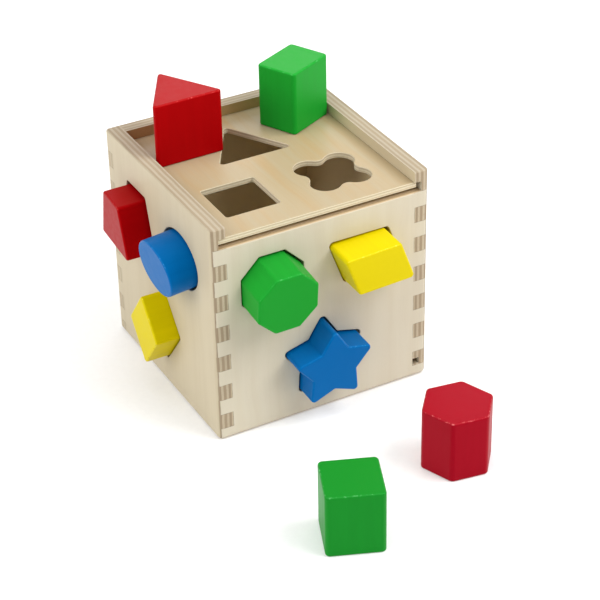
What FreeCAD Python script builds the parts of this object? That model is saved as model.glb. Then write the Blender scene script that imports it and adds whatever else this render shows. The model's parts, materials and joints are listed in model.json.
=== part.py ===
import FreeCAD, Part
import math
import os

# Wooden shape sorter: an open-topped plywood box with finger-jointed corners,
# a lid that slides in grooves, shaped holes in the lid and three walls, and
# twelve painted blocks that match the holes.
#
# Frame, millimetres: +X to the right seen from the front, +Y to the back, +Z up.
# The origin is the middle of the front wall's lower edge, on the ground.
# Shapes are built about the middle of the box's underside and moved at the end.

# The box
SIDE = 140.0
HEIGHT = 141.0
WALL = 9.5
FRONT_TOP = 128.0
FINGER = 10.0
FIRST_FINGER = 8.0
CORNER_ROUND = 3.0
RIM_ROUND = 1.0
HALF = SIDE / 2
INNER = HALF - WALL

# At the front corners the side walls' outer layer laps over the front panel's fingers
LAP = 1.5

# The sliding lid and the grooves it runs in
GROOVE_DEPTH = 4.5
LID_GROOVE_LOW = 130.2
LID_GROOVE_HIGH = 134.4
LID_LOW = 130.4
PLY = 3.8
LID_LEFT = -64.7
LID_RIGHT = 62.2
LID_FRONT = -68.6
LID_BACK = 64.5
LID_EDGE_ROUND = 0.5

# The bottom panel, held in grooves in all four walls
BASE_GROOVE_LOW = 9.0
BASE_GROOVE_HIGH = 13.0
BASE_LOW = 9.1
BASE_HALF = 64.7

# Edges of the holes are eased by this much
HOLE_EASE = 0.5

# Every block is cut from stock of the same length, with its end edges rounded
BLOCK_LENGTH = 40.0
END_ROUND = 1.2

# Angle a star's neighbouring points turn by, from tip to inner corner
STAR_STEP = 36.0

X_AXIS = FreeCAD.Vector(1, 0, 0)
Y_AXIS = FreeCAD.Vector(0, 1, 0)
Z_AXIS = FreeCAD.Vector(0, 0, 1)


def vec(x, y, z=0.0):
    return FreeCAD.Vector(x, y, z)


def polar(radius, degrees):
    angle = math.radians(degrees)
    return (radius * math.cos(angle), radius * math.sin(angle))


def slab(x_low, x_high, y_low, y_high, z_low, z_high):
    return Part.makeBox(x_high - x_low, y_high - y_low, z_high - z_low, vec(x_low, y_low, z_low))


# Outlines: each is a closed wire in the XY plane about its own centre

def rounded_outline(points, radii):
    """A closed outline through the points, with an arc of the given radius at each corner."""
    count = len(points)
    edges = []
    starts = []
    ends = []
    middles = []
    for i in range(count):
        corner = vec(*points[i])
        to_last = (vec(*points[i - 1]) - corner).normalize()
        to_next = (vec(*points[(i + 1) % count]) - corner).normalize()
        half_angle = to_last.getAngle(to_next) / 2
        radius = radii[i % len(radii)]
        setback = radius / math.tan(half_angle)
        bisector = (to_last + to_next).normalize()
        centre = corner + bisector * (radius / math.sin(half_angle))
        starts.append(corner + to_last * setback)
        ends.append(corner + to_next * setback)
        middles.append(centre - bisector * radius)
    for i in range(count):
        if radii[i % len(radii)] > 0:
            edges.append(Part.Arc(starts[i], middles[i], ends[i]).toShape())
        edges.append(Part.LineSegment(ends[i], starts[(i + 1) % count]).toShape())
    return Part.Wire(edges)


def regular_polygon(sides, radius, first_angle, corner_round):
    points = [polar(radius, first_angle + 360.0 * k / sides) for k in range(sides)]
    return rounded_outline(points, [corner_round])


def octagon(across_flats, corner_round):
    radius = across_flats / 2 / math.cos(math.radians(22.5))
    return regular_polygon(8, radius, 22.5, corner_round)


def rectangle(width, height, corner_round):
    w = width / 2
    h = height / 2
    return rounded_outline([(w, h), (-w, h), (-w, -h), (w, -h)], [corner_round])


def parallelogram(width, height, shear, corner_round):
    w = width / 2
    h = height / 2
    s = shear / 2
    points = [(w - s, h), (-w - s, h), (-w + s, -h), (w + s, -h)]
    return rounded_outline(points, [corner_round])


def trapezoid(top, bottom, height, corner_round):
    h = height / 2
    points = [(top / 2, h), (-top / 2, h), (-bottom / 2, -h), (bottom / 2, -h)]
    return rounded_outline(points, [corner_round])


def rhombus(width, height, corner_round):
    points = [(width / 2, 0), (0, height / 2), (-width / 2, 0), (0, -height / 2)]
    return rounded_outline(points, [corner_round])


def triangle(side, corner_round):
    return regular_polygon(3, side / math.sqrt(3), 90.0, corner_round)


def star(tip_radius, inner_radius, tip_round, inner_round):
    points = []
    for k in range(5):
        points.append(polar(tip_radius, 90.0 + 2 * k * STAR_STEP))
        points.append(polar(inner_radius, 90.0 + (2 * k + 1) * STAR_STEP))
    return rounded_outline(points, [tip_round, inner_round])


def circle(radius):
    return Part.Wire(Part.Circle(vec(0, 0), Z_AXIS, radius).toShape())


def oval(half_width, half_height):
    return Part.Wire(Part.Ellipse(vec(0, 0), half_width, half_height).toShape())


def quatrefoil(lobe_offset, lobe_radius, waist_radius):
    """Four round lobes at (+-offset, +-offset), joined by hollow arcs at the waists."""
    reach = math.sqrt((lobe_radius + waist_radius) ** 2 - lobe_offset ** 2)
    hollow = vec(lobe_offset + reach, 0)
    lobe = vec(lobe_offset, lobe_offset)
    join = lobe + (hollow - lobe).normalize() * lobe_radius
    lobe_top = lobe + vec(1, 1).normalize() * lobe_radius
    mirrored_join = vec(join.y, join.x)
    waist = vec(hollow.x - waist_radius, 0)
    lobe_arc = Part.Arc(join, lobe_top, mirrored_join).toShape()
    waist_arc = Part.Arc(vec(join.x, -join.y), waist, join).toShape()
    edges = []
    for k in range(4):
        for arc in (waist_arc, lobe_arc):
            turned = arc.copy()
            turned.rotate(vec(0, 0), Z_AXIS, 90.0 * k)
            edges.append(turned)
    return Part.Wire(edges)


# Placing an outline on a wall or on the lid.
# Seen from outside the wall the outline's X runs to the right, its Y runs up,
# and its own Z points away from the box.

WALL_TURN = {"front": 0.0, "left": -90.0, "back": 180.0}


def wall_placement(wall, along, height):
    """Where a hole's centre sits on a wall's outer face; `along` is the box's own X or Y."""
    turn = FreeCAD.Rotation(Z_AXIS, WALL_TURN[wall]) * FreeCAD.Rotation(X_AXIS, 90.0)
    at = {
        "front": vec(along, -HALF, height),
        "left": vec(-HALF, along, height),
        "back": vec(along, HALF, height),
    }[wall]
    return FreeCAD.Placement(at, turn)


def lid_placement(x, y, turn=0.0):
    return FreeCAD.Placement(vec(x, y, LID_LOW + PLY), FreeCAD.Rotation(Z_AXIS, turn))


def placed(shape, placement):
    copy = shape.copy()
    copy.Placement = placement.multiply(copy.Placement)
    return copy


def hole_cutter(outline, placement, thickness):
    """A prism that starts 1 mm outside the face and ends 1 mm past the other side."""
    prism = Part.Face(outline).extrude(vec(0, 0, thickness + 2))
    prism.translate(vec(0, 0, -thickness - 1))
    return placed(prism, placement)


def edges_on_face(shape, outline, placement):
    """The edges of the shape that lie along the outline once it is placed."""
    wanted = placed(outline, placement)
    return [e for e in shape.Edges if wanted.distToShape(Part.Vertex(midpoint(e)))[0] < 0.01]


def midpoint(edge):
    return edge.valueAt((edge.FirstParameter + edge.LastParameter) / 2)


def cut_hole(panel, outline, placement, thickness, both_faces):
    """Cut one shaped hole and ease its edges."""
    panel = panel.cut(hole_cutter(outline, placement, thickness))
    rims = edges_on_face(panel, outline, placement)
    if both_faces:
        far = FreeCAD.Placement(placement)
        far.Base = placement.Base - placement.Rotation.multVec(Z_AXIS) * thickness
        rims += edges_on_face(panel, outline, far)
    return panel.makeFillet(HOLE_EASE, rims)


# The box's five panels

def finger_bands(owner):
    """Heights of the corner fingers that belong to the front and back, or to the sides."""
    bands = []
    low = 0.0
    high = FIRST_FINGER
    front_owns = True
    while low < FRONT_TOP:
        if front_owns == (owner == "front"):
            bands.append((low, high))
        low = high
        high = high + FINGER
        front_owns = not front_owns
    if owner == "sides":
        bands.append((FRONT_TOP, HEIGHT))
    return bands


def rounded_box():
    """The box's outside, solid, with its corners, foot and rim rounded."""
    block = slab(-HALF, HALF, -HALF, HALF, 0, HEIGHT)
    body = [e for e in block.Edges if midpoint(e).z < HEIGHT - 1]
    block = block.makeFillet(CORNER_ROUND, body)
    rim = [e for e in block.Edges if abs(e.BoundBox.ZMin - HEIGHT) < 0.01]
    return block.makeFillet(RIM_ROUND, rim)


def corner_notches(bands, front_reach):
    """Boxes that clear the named bands at the upright corners, out to front_reach at the front."""
    cutters = []
    for low, high in bands:
        for y, reach in ((-HALF, front_reach), (INNER, HALF)):
            cutters.append(slab(-reach, -INNER, y, y + WALL, low, high))
            cutters.append(slab(INNER, reach, y, y + WALL, low, high))
    return cutters


def base_groove():
    outer = INNER + GROOVE_DEPTH
    return slab(-outer, outer, -outer, outer, BASE_GROOVE_LOW, BASE_GROOVE_HIGH)


def lid_groove():
    outer = INNER + GROOVE_DEPTH
    return slab(-outer, outer, -HALF, outer, LID_GROOVE_LOW, LID_GROOVE_HIGH)


def front_or_back(y_low, half_width, top):
    panel = slab(-half_width, half_width, y_low, y_low + WALL, 0, top)
    panel = panel.cut(corner_notches(finger_bands("sides"), HALF))
    cross = slab(-INNER, INNER, -HALF, HALF, BASE_GROOVE_LOW, BASE_GROOVE_HIGH)
    panel = panel.cut(base_groove().common(cross))
    return panel.common(OUTSIDE)


def side_wall(x_low):
    panel = slab(x_low, x_low + WALL, -HALF, HALF, 0, HEIGHT)
    panel = panel.cut(corner_notches(finger_bands("front"), HALF - LAP))
    panel = panel.cut(lid_groove())
    lip = INNER + GROOVE_DEPTH
    panel = panel.cut(slab(-lip, lip, -HALF, -INNER, FRONT_TOP, LID_GROOVE_LOW))
    panel = panel.cut(base_groove())
    return panel.common(OUTSIDE)


def top_edge_cutter(radius):
    """Rounds the outer top edge of the front panel between the two side walls."""
    bar = slab(-INNER, INNER, -HALF, -HALF + radius, FRONT_TOP - radius, FRONT_TOP)
    centre = vec(-INNER, -HALF + radius, FRONT_TOP - radius)
    return bar.cut(Part.makeCylinder(radius, 2 * INNER, centre, X_AXIS))


OUTSIDE = rounded_box()

front_panel = front_or_back(-HALF, HALF - LAP, FRONT_TOP).cut(top_edge_cutter(RIM_ROUND))
back_panel = front_or_back(INNER, HALF, HEIGHT)
back_panel = back_panel.cut(lid_groove().common(slab(-INNER, INNER, 0, HALF, 0, HEIGHT)))
left_panel = side_wall(-HALF)
right_panel = side_wall(INNER)

# The right wall's bottom groove runs out through its front end
run_out = slab(INNER, INNER + GROOVE_DEPTH, -HALF, 0, BASE_GROOVE_LOW, BASE_GROOVE_HIGH)
right_panel = right_panel.cut(run_out)

bottom_panel = slab(-BASE_HALF, BASE_HALF, -BASE_HALF, BASE_HALF, BASE_LOW, BASE_LOW + PLY)

sliding_lid = slab(LID_LEFT, LID_RIGHT, LID_FRONT, LID_BACK, LID_LOW, LID_LOW + PLY)
lid_front_edges = [
    e for e in sliding_lid.Edges
    if abs(midpoint(e).y - LID_FRONT) < 0.01 and abs(midpoint(e).x) < 50
]
sliding_lid = sliding_lid.makeFillet(LID_EDGE_ROUND, lid_front_edges)

# Holes in the front wall
front_holes = [
    (octagon(39.8, 0.0), -32.2, 96.1),
    (parallelogram(39.8, 28.6, 10.4, 2.5), 28.4, 96.9),
    (star(28.2, 16.3, 2.5, 0.6), -0.8, 37.5),
]
for outline, x, z in front_holes:
    front_panel = cut_hole(front_panel, outline, wall_placement("front", x, z), WALL, False)

# Holes in the left wall
left_holes = [
    (trapezoid(25.3, 44.9, 35.5, 2.0), 28.8, 102.3),
    (oval(22.8, 17.3), -28.8, 102.4),
    (rhombus(41.5, 52.0, 2.0), -1.8, 44.0),
]
for outline, y, z in left_holes:
    left_panel = cut_hole(left_panel, outline, wall_placement("left", y, z), WALL, False)

# Holes in the back wall
back_holes = [
    (regular_polygon(6, 22.8, 0.0, 3.0), -34.0, 98.0),
    (rectangle(36.6, 29.2, 2.4), 28.0, 40.0),
    (circle(19.5), -28.0, 40.0),
]
for outline, x, z in back_holes:
    back_panel = cut_hole(back_panel, outline, wall_placement("back", x, z), WALL, False)

# Holes in the lid
lid_holes = [
    (triangle(48.0, 2.0), -2.1, 19.7),
    (rectangle(34.3, 34.3, 1.5), -32.4, -32.8),
    (quatrefoil(10.0, 9.2, 5.6), 27.0, -33.5),
]
for outline, x, y in lid_holes:
    sliding_lid = cut_hole(sliding_lid, outline, lid_placement(x, y), PLY, True)


# The blocks.  Each is built with its outer end face at its own Z = 0 and its
# length running down to Z = -BLOCK_LENGTH, then placed.

def block(outline):
    prism = Part.Face(outline).extrude(vec(0, 0, BLOCK_LENGTH))
    prism.translate(vec(0, 0, -BLOCK_LENGTH))
    rims = [e for e in prism.Edges if e.BoundBox.ZLength < 0.01]
    return prism.makeFillet(END_ROUND, rims)


def in_wall(shape, wall, along, height, proud, yaw, pitch, roll):
    """A block standing proud of a wall, tilted about the point where it crosses the face."""
    seat = wall_placement(wall, along, height)
    tilt = FreeCAD.Rotation(Y_AXIS, yaw)
    tilt = tilt * FreeCAD.Rotation(X_AXIS, -pitch)
    tilt = tilt * FreeCAD.Rotation(Z_AXIS, roll)
    out = placed(shape, FreeCAD.Placement(vec(0, 0, proud), FreeCAD.Rotation()))
    out = placed(out, FreeCAD.Placement(vec(0, 0), tilt))
    return placed(out, seat)


def standing(shape, x, y, floor, turn):
    """A block standing on end at the given height, turned about the vertical."""
    at = vec(x, y, floor + BLOCK_LENGTH)
    return placed(shape, FreeCAD.Placement(at, FreeCAD.Rotation(Z_AXIS, turn)))


LID_TOP = LID_LOW + PLY

nodes = {
    "front_panel": front_panel,
    "back_panel": back_panel,
    "left_panel": left_panel,
    "right_panel": right_panel,
    "bottom_panel": bottom_panel,
    "sliding_lid": sliding_lid,
    "octagon_block": in_wall(
        block(octagon(37.9, 2.5)), "front", -32.6, 95.6, 19.8, 0.0, -6.5, 0.5),
    "parallelogram_block": in_wall(
        block(parallelogram(37.0, 26.4, 9.4, 2.2)), "front", 27.6, 96.9, 17.9, 1.0, -3.0, 1.6),
    "star_block": in_wall(
        block(star(26.9, 15.2, 2.3, 1.0)), "front", -0.9, 37.0, 15.0, 0.0, -3.0, 0.5),
    "trapezoid_block": in_wall(
        block(trapezoid(23.0, 40.5, 32.4, 1.8)), "left", 29.5, 101.3, 15.8, -2.9, -2.0, -1.0),
    "oval_block": in_wall(
        block(oval(21.3, 15.8)), "left", -28.2, 101.9, 16.0, 0.0, -6.0, 0.0),
    "rhombus_block": in_wall(
        block(rhombus(37.0, 48.0, 2.0)), "left", -2.8, 44.2, 15.0, 0.0, 0.0, 0.0),
    "cylinder_block": in_wall(
        block(circle(18.5)), "back", -28.0, 39.3, 15.0, 0.0, -3.0, 0.0),
    "triangle_block": standing(block(triangle(45.9, 1.8)), -37.3, 33.5, LID_TOP, 0.8),
    "rectangle_block": standing(block(rectangle(34.6, 27.2, 2.4)), 39.0, 35.2, LID_TOP, 26.0),
    "square_block": standing(block(rectangle(33.4, 33.4, 2.8)), -46.0, -182.2, 0.0, -22.0),
    "hexagon_block": standing(
        block(regular_polygon(6, 22.0, 0.0, 3.4)), 39.2, -153.0, 0.0, -9.0),
    "quatrefoil_block": standing(
        block(quatrefoil(9.3, 8.9, 6.0)), 20.0, 0.8, BASE_LOW + PLY, 0.0),
}

# Move everything so the origin is the middle of the front wall's lower edge
os.makedirs("parts", exist_ok=True)
for name, shape in nodes.items():
    shape.translate(vec(0, HALF - WALL / 2, 0))
    shape.exportStep("parts/" + name + ".step")
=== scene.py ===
import json
import math

import bpy
from mathutils import Matrix, Vector


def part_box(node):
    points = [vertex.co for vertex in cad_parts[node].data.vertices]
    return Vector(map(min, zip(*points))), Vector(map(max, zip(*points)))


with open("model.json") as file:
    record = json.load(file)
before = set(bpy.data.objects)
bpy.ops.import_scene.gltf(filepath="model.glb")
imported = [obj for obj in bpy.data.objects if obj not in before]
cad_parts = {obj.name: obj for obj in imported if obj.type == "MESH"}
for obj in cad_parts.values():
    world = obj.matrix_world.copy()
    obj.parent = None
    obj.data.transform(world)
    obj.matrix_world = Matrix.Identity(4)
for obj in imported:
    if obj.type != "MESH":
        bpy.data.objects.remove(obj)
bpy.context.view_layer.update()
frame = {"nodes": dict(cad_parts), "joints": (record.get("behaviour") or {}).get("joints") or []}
nodes = frame["nodes"]


# ---------------------------------------------------------------- node helpers

class Tree:
    """A short way to write one material's nodes. Every call returns an output socket."""

    def __init__(self, name):
        self.material = bpy.data.materials.new(name)
        self.material.use_nodes = True
        self.tree = self.material.node_tree
        self.shader = self.tree.nodes["Principled BSDF"]
        coords = self.tree.nodes.new("ShaderNodeTexCoord")
        self.place = coords.outputs["Object"]
        self.normal = coords.outputs["Normal"]

    def _set(self, socket, value):
        if isinstance(value, bpy.types.NodeSocket):
            self.tree.links.new(value, socket)
        else:
            socket.default_value = value

    def math(self, op, a, b=0.0, c=0.0, clamp=False):
        n = self.tree.nodes.new("ShaderNodeMath")
        n.operation = op
        n.use_clamp = clamp
        for socket, value in zip(n.inputs, (a, b, c)):
            self._set(socket, value)
        return n.outputs[0]

    def dot(self, a, b):
        n = self.tree.nodes.new("ShaderNodeVectorMath")
        n.operation = "DOT_PRODUCT"
        self._set(n.inputs[0], a)
        self._set(n.inputs[1], b)
        return n.outputs["Value"]

    def join(self, x, y, z):
        n = self.tree.nodes.new("ShaderNodeCombineXYZ")
        for socket, value in zip(n.inputs, (x, y, z)):
            self._set(socket, value)
        return n.outputs[0]

    def noise(self, vector, scale=1.0, detail=2.0, rough=0.5, seed=0.0, warp=0.0):
        n = self.tree.nodes.new("ShaderNodeTexNoise")
        n.noise_dimensions = "4D"
        self._set(n.inputs["Vector"], vector)
        self._set(n.inputs["W"], seed)
        self._set(n.inputs["Scale"], scale)
        self._set(n.inputs["Detail"], detail)
        self._set(n.inputs["Roughness"], rough)
        self._set(n.inputs["Distortion"], warp)
        return n.outputs["Fac"]

    def span(self, value, low, high, to_low=0.0, to_high=1.0):
        n = self.tree.nodes.new("ShaderNodeMapRange")
        n.interpolation_type = "SMOOTHSTEP"
        for key, v in (("Value", value), ("From Min", low), ("From Max", high),
                       ("To Min", to_low), ("To Max", to_high)):
            self._set(n.inputs[key], v)
        return n.outputs["Result"]

    def ramp(self, fac, stops):
        n = self.tree.nodes.new("ShaderNodeValToRGB")
        e = n.color_ramp.elements
        e[0].position, e[0].color = stops[0][0], (*stops[0][1], 1)
        e[1].position, e[1].color = stops[-1][0], (*stops[-1][1], 1)
        for at, colour in stops[1:-1]:
            e.new(at).color = (*colour, 1)
        self._set(n.inputs["Fac"], fac)
        return n.outputs["Color"]

    def mix(self, fac, a, b, how="MIX"):
        n = self.tree.nodes.new("ShaderNodeMix")
        n.data_type = "RGBA"
        n.blend_type = how
        for key, v in ((0, fac), (6, a), (7, b)):
            if isinstance(v, tuple) and len(v) == 3:
                v = (*v, 1)
            self._set(n.inputs[key], v)
        return n.outputs[2]

    def bump(self, height, distance, strength=1.0):
        n = self.tree.nodes.new("ShaderNodeBump")
        n.inputs["Distance"].default_value = distance
        n.inputs["Strength"].default_value = strength
        self._set(n.inputs["Height"], height)
        self.tree.links.new(n.outputs[0], self.shader.inputs["Normal"])

    def finish(self, colour, roughness, **fixed):
        self._set(self.shader.inputs["Base Color"], colour)
        self._set(self.shader.inputs["Roughness"], roughness)
        for key, v in fixed.items():
            self.shader.inputs[key.replace("_", " ")].default_value = v
        return self.material


def paint_node(name, material):
    nodes[name].data.materials.clear()
    nodes[name].data.materials.append(material)


# ---------------------------------------------------------------- birch plywood

AXES = ((1.0, 0.0, 0.0), (0.0, 1.0, 0.0), (0.0, 0.0, 1.0))
MM = 1000.0

# The box, in mm: half its side, half the space inside, how far its middle is behind the
# origin, and the side walls' lap over the front panel's fingers
HALF = 70.0
INNER = 60.5
ORIGIN_TO_MIDDLE = 65.25
LAP = 1.5

# The finger joints, in mm: the first finger's height, the others', and where they stop
FIRST_FINGER = 8.0
FINGER = 10.0
FINGERS_TOP = 128.5
GLUE_WIDTH = 0.20

# Heights, in metres, between which the walls' inner faces turn from the colour inside the box to the
# painted shade above the lid
LIP_SHADE_FROM = 0.131
LIP_SHADE_TO = 0.134

# Layers, in mm, and how softly one turns into the next
WALL_PLIES = (0.9, 1.5, 1.5, 1.7, 1.5, 1.5, 0.9)
THIN_PLIES = (0.7, 0.7, 1.0, 0.7, 0.7)
PLY_SOFTNESS = 0.12
PLY_SHADES = (1.0, 0.94, 1.03, 1.02)


def scaled(colour, k):
    return tuple(min(1.0, c * k) for c in colour)


def layer_stops(plies, light, dark):
    """Ramp stops for the layers across a sheet's thickness, with short soft joins."""
    total = sum(plies)
    stops = []
    at = 0.0
    for i, ply in enumerate(plies):
        tone = scaled(dark if i % 2 else light, PLY_SHADES[i % len(PLY_SHADES)])
        stops.append((min(1.0, (at + PLY_SOFTNESS) / total), tone))
        at += ply
        stops.append((min(1.0, (at - PLY_SOFTNESS) / total), tone))
    return stops


def near(t, value, target):
    """One where the value, in mm, is within a glue line's width of the target."""
    gap = t.math("ABSOLUTE", t.math("SUBTRACT", value, target))
    return t.span(gap, GLUE_WIDTH * 0.5, GLUE_WIDTH * 1.5, 1.0, 0.0)


def glue_lines(t):
    """Thin lines where the fingers meet, only along real joints.

    "ends" are the front and back faces of the box, "sides" its left and right faces.
    """
    x = t.math("ABSOLUTE", t.math("MULTIPLY", t.dot(t.place, AXES[0]), MM))
    y = t.math("SUBTRACT", t.math("MULTIPLY", t.dot(t.place, AXES[1]), MM), ORIGIN_TO_MIDDLE)
    z = t.math("SUBTRACT", t.math("MULTIPLY", t.dot(t.place, AXES[2]), MM), FIRST_FINGER)
    on_ends = t.math("GREATER_THAN", t.math("ABSOLUTE", t.dot(t.normal, AXES[1])), 0.6)
    on_sides = t.math("GREATER_THAN", t.math("ABSOLUTE", t.dot(t.normal, AXES[0])), 0.8)
    at_front = t.math("LESS_THAN", y, 0.0)
    side_band = t.math("LESS_THAN", t.math("FLOORED_MODULO", z, 2 * FINGER), FINGER)
    end_band = t.math("SUBTRACT", 1.0, side_band)
    rung = t.span(t.math("PINGPONG", z, FINGER / 2), 0.10, 0.28, 1.0, 0.0)
    reach = t.math("SUBTRACT", HALF, t.math("MULTIPLY", at_front, LAP))
    in_joint = t.math("MULTIPLY", t.math("GREATER_THAN", x, INNER), t.math("LESS_THAN", x, reach))
    ends = t.math("MAXIMUM", t.math("MULTIPLY", rung, in_joint),
                  t.math("MULTIPLY", near(t, x, INNER), side_band))
    lap = t.math("MULTIPLY", t.math("MULTIPLY", near(t, x, HALF - LAP), end_band), at_front)
    ends = t.math("MAXIMUM", ends, lap)
    sides = t.math("MAXIMUM", t.math("MULTIPLY", rung, t.math("GREATER_THAN", y, INNER)),
                   t.math("MULTIPLY", near(t, y, INNER), end_band))
    both = t.math("ADD", t.math("MULTIPLY", ends, on_ends),
                  t.math("MULTIPLY", sides, on_sides), clamp=True)
    both = t.math("MULTIPLY", both, t.math("LESS_THAN", z, FINGERS_TOP - FIRST_FINGER))
    patchy = t.span(t.noise(t.place, 260.0, 1.0), 0.30, 0.62, 0.12, 0.50)
    return t.math("MULTIPLY", both, patchy)


def plywood(node, thick, outer_high, grain, tones, plies, seed, joints=True, sheen=0.5,
            figured=0.5, lip_shade=None, rim=None):
    """Varnished birch ply: veneer on the two faces and the plies on every edge.

    thick and grain are axis numbers; outer_high says the good face is at the high end.
    tones is the good face's two colours and the other face's. plies is the thickness of
    each layer in mm, from the good face inwards. joints says it has finger joints.
    sheen is the roughness and figured the strength of the grain. lip is the painted shade on the other
    face above the lid, and rim the light and dark layers where an edge faces up.
    """
    t = Tree(node + "_ply")
    low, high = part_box(node)
    cross = 3 - thick - grain
    face, warm, inside = tones
    total = sum(plies)
    deep = t.math("MULTIPLY", t.dot(t.place, AXES[thick]), MM)
    if outer_high:
        deep = t.math("SUBTRACT", high[thick] * MM, deep)
    else:
        deep = t.math("SUBTRACT", deep, low[thick] * MM)
    along = t.math("MULTIPLY", t.dot(t.place, AXES[grain]), MM)
    across = t.math("MULTIPLY", t.dot(t.place, AXES[cross]), MM)
    on_edge = t.span(t.math("ABSOLUTE", t.dot(t.normal, AXES[thick])), 0.86, 0.62)

    # Face veneer: broad figure, fine lines along the grain, short pores, pale blotches
    wander = t.noise(t.join(t.math("MULTIPLY", along, 0.012), t.math("MULTIPLY", across, 0.05), 0.0),
                     1.0, 2.0, 0.5, seed)
    bent = t.math("ADD", across, t.math("MULTIPLY", wander, 14.0))
    figure = t.noise(t.join(t.math("MULTIPLY", along, 0.006), t.math("MULTIPLY", bent, 0.11), 0.0),
                     1.0, 3.0, 0.55, seed + 3.0)
    lines = t.noise(t.join(t.math("MULTIPLY", along, 0.02), t.math("MULTIPLY", bent, 0.9), 0.0),
                    1.0, 4.0, 0.65, seed + 7.0)
    pores = t.noise(t.join(t.math("MULTIPLY", along, 0.22), t.math("MULTIPLY", bent, 3.0), 0.0),
                    1.0, 2.0, 0.5, seed + 11.0)
    cloud = t.noise(t.place, 22.0, 3.0, 0.5, seed + 17.0)
    colour = t.mix(t.span(figure, 0.36, 0.72, 0.0, figured), face, warm)
    colour = t.mix(t.span(lines, 0.48, 0.78, 0.0, 0.3 * figured), colour, scaled(warm, 0.80))
    colour = t.mix(t.span(pores, 0.60, 0.74, 0.0, 0.16), colour, scaled(warm, 0.62))
    colour = t.mix(t.span(cloud, 0.30, 0.72, 0.0, 0.30), colour, scaled(face, 1.07))
    shade = inside
    # Painted shade: above the lid the inner face turns to a darker brown, standing in for the shade in
    # the recess
    if joints:
        shaded_above_lid = t.span(t.dot(t.place, AXES[2]), LIP_SHADE_FROM, LIP_SHADE_TO)
        shade = t.mix(shaded_above_lid, inside, lip_shade or LIP_SHADE)
    colour = t.mix(t.span(deep, total * 0.55, total * 0.65), colour, shade)

    # Edges: the layers, a little wavy; strong on the finger ends, faint where they face up
    wave = t.noise(t.place, 90.0, 2.0, 0.5, seed + 23.0)
    fine = t.noise(t.place, 900.0, 2.0, 0.6, seed + 29.0)
    shift = t.math("MULTIPLY", t.math("SUBTRACT", wave, 0.5), 0.7)
    if joints:
        # Each finger's layers sit and are toned a little differently
        height_mm = t.math("MULTIPLY", t.dot(t.place, AXES[2]), MM)
        above_first = t.math("SUBTRACT", height_mm, FIRST_FINGER)
        finger = t.math("FLOOR", t.math("DIVIDE", above_first, FINGER))
        lot = t.noise(t.join(0.5, 0.5, 0.5), 1.0, 0.0, 0.5, t.math("MULTIPLY", finger, 3.7))
        shift = t.math("ADD", shift, t.math("MULTIPLY", t.math("SUBTRACT", lot, 0.5), 1.6))
    layer = t.math("DIVIDE", t.math("ADD", deep, shift), total)
    layers = t.ramp(layer, layer_stops(plies, *(rim or RIM)))
    if joints:
        strong = t.ramp(layer, layer_stops(plies, *(FRONT_BACK_ENDS if thick == 1 else SIDE_ENDS)))
        up = t.span(t.math("ABSOLUTE", t.dot(t.normal, AXES[2])), 0.35, 0.75)
        layers = t.mix(up, strong, layers)
    streak = t.noise(t.join(t.math("MULTIPLY", deep, 4.0), t.math("MULTIPLY", along, 0.7),
                            t.math("MULTIPLY", across, 0.7)), 1.0, 3.0, 0.6, seed + 31.0)
    layers = t.mix(t.span(streak, 0.48, 0.80, 0.0, 0.30), layers, scaled(EDGE_DARK, 0.80))
    layers = t.mix(t.span(fine, 0.35, 0.75, 0.0, 0.14), layers, scaled(EDGE_DARK, 0.85))
    if joints:
        layers = t.mix(t.span(lot, 0.38, 0.62, 0.0, 0.22), layers, scaled(EDGE_DARK, 1.05))
    colour = t.mix(on_edge, colour, layers)
    if joints:
        colour = t.mix(glue_lines(t), colour, scaled(EDGE_DARK, 0.45))

    rough = t.math("ADD", sheen, t.math("MULTIPLY", t.math("SUBTRACT", lines, 0.5), 0.18))
    rough = t.math("ADD", rough, t.math("MULTIPLY", on_edge, 0.15), clamp=True)
    height = t.math("ADD", t.math("MULTIPLY", lines, 0.4), t.math("MULTIPLY", pores, -0.30))
    height = t.math("ADD", height, t.math("MULTIPLY", t.math("MULTIPLY", streak, on_edge), 0.7))
    t.bump(height, 0.00010, 0.5)
    paint_node(node, t.finish(colour, rough, Specular_IOR_Level=0.25))


# The walls' inner faces: their colour below the lid, and the painted shade on them above the lid,
# lighter on the right wall
INSIDE = (0.86, 0.69, 0.42)
LIP_SHADE = (0.43, 0.29, 0.13)
RIGHT_LIP_SHADE = (0.56, 0.475, 0.32)

# Light and dark layers: on the side walls' finger ends, on the front and back panels'
# finger ends, and on edges that face up
EDGE_DARK = (0.335, 0.255, 0.165)
SIDE_ENDS = ((0.50, 0.415, 0.295), EDGE_DARK)
FRONT_BACK_ENDS = ((0.53, 0.46, 0.33), (0.45, 0.375, 0.255))
RIM = ((0.46, 0.400, 0.295), (0.365, 0.290, 0.195))
# The front panel's up-facing top edge is warmer and much lighter: partly the ply's own tone, partly
# painted light where it sits in the lid's shadow
FRONT_LIT_RIM = ((0.64, 0.48, 0.29), (0.52, 0.37, 0.20))
LID_RIM = ((0.70, 0.62, 0.45), (0.58, 0.47, 0.30))

# The good face's two colours, and the other face's
FRONT_TONES = ((0.61, 0.55, 0.430), (0.565, 0.49, 0.362), INSIDE)
# The left panel's tones are a darker copy of the wall ply's: partly the ply's own tone, partly painted
# shade for the left side
LEFT_SHADED_TONES = ((0.535, 0.462, 0.325), (0.49, 0.41, 0.275), INSIDE)
LID_TONES = ((0.425, 0.343, 0.212), (0.44, 0.305, 0.150), (0.60, 0.50, 0.34))
BASE_TONES = ((0.86, 0.67, 0.40), (0.80, 0.60, 0.34), (0.70, 0.55, 0.35))

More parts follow.
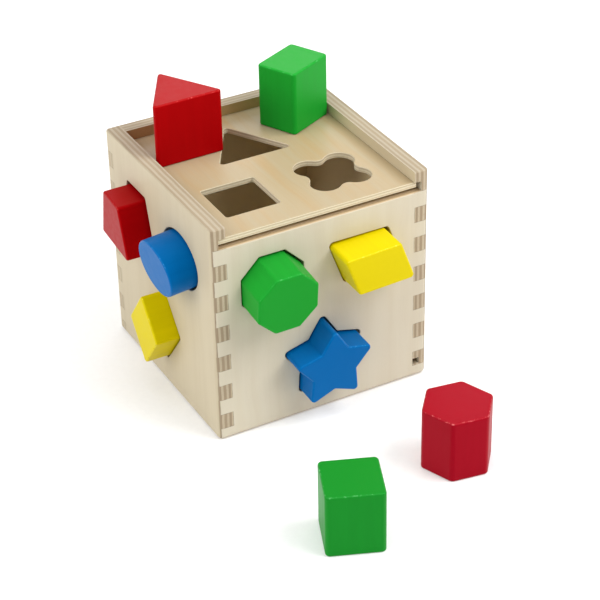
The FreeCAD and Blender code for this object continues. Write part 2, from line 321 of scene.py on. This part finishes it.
plywood("front_panel", 1, False, 2, FRONT_TONES, WALL_PLIES, 1.0, rim=FRONT_LIT_RIM)
plywood("back_panel", 1, True, 2, FRONT_TONES, WALL_PLIES, 5.0)
plywood("left_panel", 0, False, 2, LEFT_SHADED_TONES, WALL_PLIES, 9.0)
plywood("right_panel", 0, True, 2, FRONT_TONES, WALL_PLIES, 13.0, lip_shade=RIGHT_LIP_SHADE)
plywood("bottom_panel", 2, True, 0, BASE_TONES, THIN_PLIES, 17.0, joints=False)
plywood("sliding_lid", 2, True, 1, LID_TONES, THIN_PLIES, 21.0, joints=False, sheen=0.42,
        figured=0.95, rim=LID_RIM)


# ---------------------------------------------------------------- enamel paint

def enamel(name, base, edge, sheen_tint, seed, axis):
    """Brushed-on satin enamel over hardwood: faint streaks along the block's own axis.

    base is the paint, edge the colour of the painted highlight flecks on the upper rims, and sheen_tint
    the colour of its front-on reflection.
    """
    t = Tree(name + "_enamel")
    along = Vector(axis).normalized()
    side = along.orthogonal().normalized()
    other = along.cross(side)
    a = t.math("MULTIPLY", t.dot(t.place, tuple(along)), MM)
    b = t.math("MULTIPLY", t.dot(t.place, tuple(side)), MM)
    c = t.math("MULTIPLY", t.dot(t.place, tuple(other)), MM)
    facing = t.math("ABSOLUTE", t.dot(t.normal, tuple(along)))
    rim = t.math("MULTIPLY", t.span(facing, 0.25, 0.6), t.span(facing, 0.985, 0.90))
    rising = t.span(t.dot(t.normal, AXES[2]), 0.15, 0.70)
    on_side = t.span(facing, 0.95, 0.70, 0.25, 1.0)
    fine = t.join(t.math("MULTIPLY", a, 0.05), t.math("MULTIPLY", b, 1.1), t.math("MULTIPLY", c, 1.1))
    grain = t.noise(fine, 1.0, 3.0, 0.6, seed)
    broad = t.join(t.math("MULTIPLY", a, 0.02), t.math("MULTIPLY", b, 0.30), t.math("MULTIPLY", c, 0.30))
    brush = t.noise(broad, 1.0, 2.0, 0.5, seed + 4.0)
    fleck = t.noise(t.join(a, b, c), 0.55, 3.0, 0.65, seed + 12.0)
    colour = t.mix(t.math("MULTIPLY", t.span(brush, 0.70, 0.30), on_side), base, scaled(base, 0.95))
    streaks = t.math("MULTIPLY", t.span(grain, 0.52, 0.80, 0.0, 0.14), on_side)
    colour = t.mix(streaks, colour, scaled(base, 0.78))
    # Painted highlight: lighter flecks on the up-facing rims of the ends, where the light glints
    painted_glint = t.math("MULTIPLY", t.math("MULTIPLY", rim, rising), t.span(fleck, 0.52, 0.66, 0.06, 0.60))
    colour = t.mix(painted_glint, colour, edge)
    rough = t.math("ADD", 0.45, t.math("MULTIPLY", t.math("SUBTRACT", brush, 0.5), 0.16))
    rough = t.math("SUBTRACT", rough, t.math("MULTIPLY", rim, 0.16), clamp=True)
    relief = t.math("ADD", t.math("MULTIPLY", grain, 0.6), t.math("MULTIPLY", brush, 0.3))
    t.bump(t.math("MULTIPLY", relief, on_side), 0.00006, 0.45)
    tint = (*sheen_tint, 1.0)
    paint_node(name, t.finish(colour, rough, Specular_IOR_Level=0.16, Specular_Tint=tint))


# Each paint: its colour, the colour of its painted rim highlights, the tint of its sheen
GREEN = ((0.010, 0.27, 0.022), (0.16, 0.58, 0.20), (0.05, 1.0, 0.15))
RED = ((0.37, 0.0006, 0.002), (0.78, 0.14, 0.13), (1.0, 0.05, 0.05))
CRIMSON = ((0.33, 0.0006, 0.010), (0.80, 0.22, 0.22), (1.0, 0.05, 0.10))
BLUE = ((0.0003, 0.122, 0.385), (0.08, 0.34, 0.70), (0.03, 0.55, 1.0))
YELLOW = ((0.69, 0.56, 0.001), (0.95, 0.84, 0.16), (1.0, 0.85, 0.05))

# Each block: its shape, its paint, and how far its paint is lightened or darkened as painted light and
# shade for where it stands
BLOCKS = (
    ("octagon", GREEN, 1.08), ("rectangle", GREEN, 1.18), ("square", GREEN, 0.86),
    ("triangle", RED, 0.98), ("trapezoid", RED, 0.90), ("hexagon", CRIMSON, 1.0),
    ("star", BLUE, 1.0), ("oval", BLUE, 0.95), ("quatrefoil", BLUE, 1.0),
    ("parallelogram", YELLOW, 1.0), ("rhombus", YELLOW, 0.94), ("cylinder", YELLOW, 1.0),
)
slides = {j["child"]: j["axis"] for j in frame["joints"]}
# Each block's paint is scaled by its painted light and shade factor
for count, (shape, (base, edge, sheen_tint), painted_light_scale) in enumerate(BLOCKS):
    enamel(shape + "_block", scaled(base, painted_light_scale), edge, sheen_tint, 40.0 + 5.0 * count,
           slides[shape + "_piece"])


# ---------------------------------------------------------------- floor, light, camera

def flat_sheet(name, size, z):
    mesh = bpy.data.meshes.new(name)
    s = size / 2
    mesh.from_pydata([(-s, -s, z), (s, -s, z), (s, s, z), (-s, s, z)], [], [(0, 1, 2, 3)])
    thing = bpy.data.objects.new(name, mesh)
    bpy.context.scene.collection.objects.link(thing)
    return thing


WHITE = (1.0, 1.0, 1.0, 1.0)
FLOOR_SIZE = 8.0
FLOOR_GLOW = 0.14
SKY_LIGHT = 0.45

floor = flat_sheet("floor", FLOOR_SIZE, 0.0)
paper = Tree("paper")
tooth = paper.noise(paper.place, 300.0, 3.0, 0.5, 2.0)
paper.bump(tooth, 0.00005, 0.2)
paper_colour = paper.mix(paper.span(tooth, 0.3, 0.7), (0.84, 0.84, 0.84), (0.86, 0.86, 0.86))
floor.data.materials.append(paper.finish(
    paper_colour, 0.9, Specular_IOR_Level=0.1, Emission_Color=WHITE, Emission_Strength=FLOOR_GLOW))

scene = bpy.context.scene
world = bpy.data.worlds.new("studio")
scene.world = world
world.use_nodes = True
world.node_tree.nodes["Background"].inputs["Color"].default_value = WHITE
world.node_tree.nodes["Background"].inputs["Strength"].default_value = SKY_LIGHT


def softbox(name, at, aim, width, height, power):
    light = bpy.data.lights.new(name, "AREA")
    light.shape = "RECTANGLE"
    light.size = width
    light.size_y = height
    light.energy = power
    thing = bpy.data.objects.new(name, light)
    thing.location = at
    thing.rotation_euler = (Vector(aim) - Vector(at)).to_track_quat("-Z", "Y").to_euler()
    scene.collection.objects.link(thing)


# Each softbox aims at the object: its name, place, width, height (m) and power (W)
MIDDLE = (0.0, 0.03, 0.07)
SOFTBOXES = (
    ("key_right", (0.92, -0.77, 1.27), 1.2, 1.2, 25.0),
    ("fill_left", (-1.23, 0.03, 0.93), 1.1, 1.1, 12.5),
    ("overhead", (0.0, 0.10, 1.57), 1.1, 1.1, 7.0),
    ("back_sheen", (0.79, 1.52, 0.90), 1.2, 0.6, 6.0),
)
for name, at, width, height, power in SOFTBOXES:
    softbox(name, at, MIDDLE, width, height, power)

# The camera: where it looks, from where, and its tilt
LOOK_AT = Vector((-0.0153, -0.00475, 0.0798))
AZIMUTH = math.radians(-27.93)
ELEVATION = math.radians(32.66)
ROLL = math.radians(-1.30)
DISTANCE = 1.1307
back = Vector((math.sin(AZIMUTH) * math.cos(ELEVATION), -math.cos(AZIMUTH) * math.cos(ELEVATION),
               math.sin(ELEVATION)))
level = (-back).cross(Vector((0, 0, 1))).normalized()
upright = level.cross(-back)
right = math.cos(ROLL) * level + math.sin(ROLL) * upright
up = -math.sin(ROLL) * level + math.cos(ROLL) * upright
camera = bpy.data.objects.new("camera", bpy.data.cameras.new("camera"))
camera.data.sensor_width = 36.0
camera.data.lens = 119.09
camera.data.clip_end = 50.0
camera.matrix_world = Matrix((
    (right.x, up.x, back.x, 0), (right.y, up.y, back.y, 0), (right.z, up.z, back.z, 0), (0, 0, 0, 1)))
camera.location = LOOK_AT + back * DISTANCE
scene.collection.objects.link(camera)
scene.camera = camera
scene.view_settings.view_transform = "Standard"
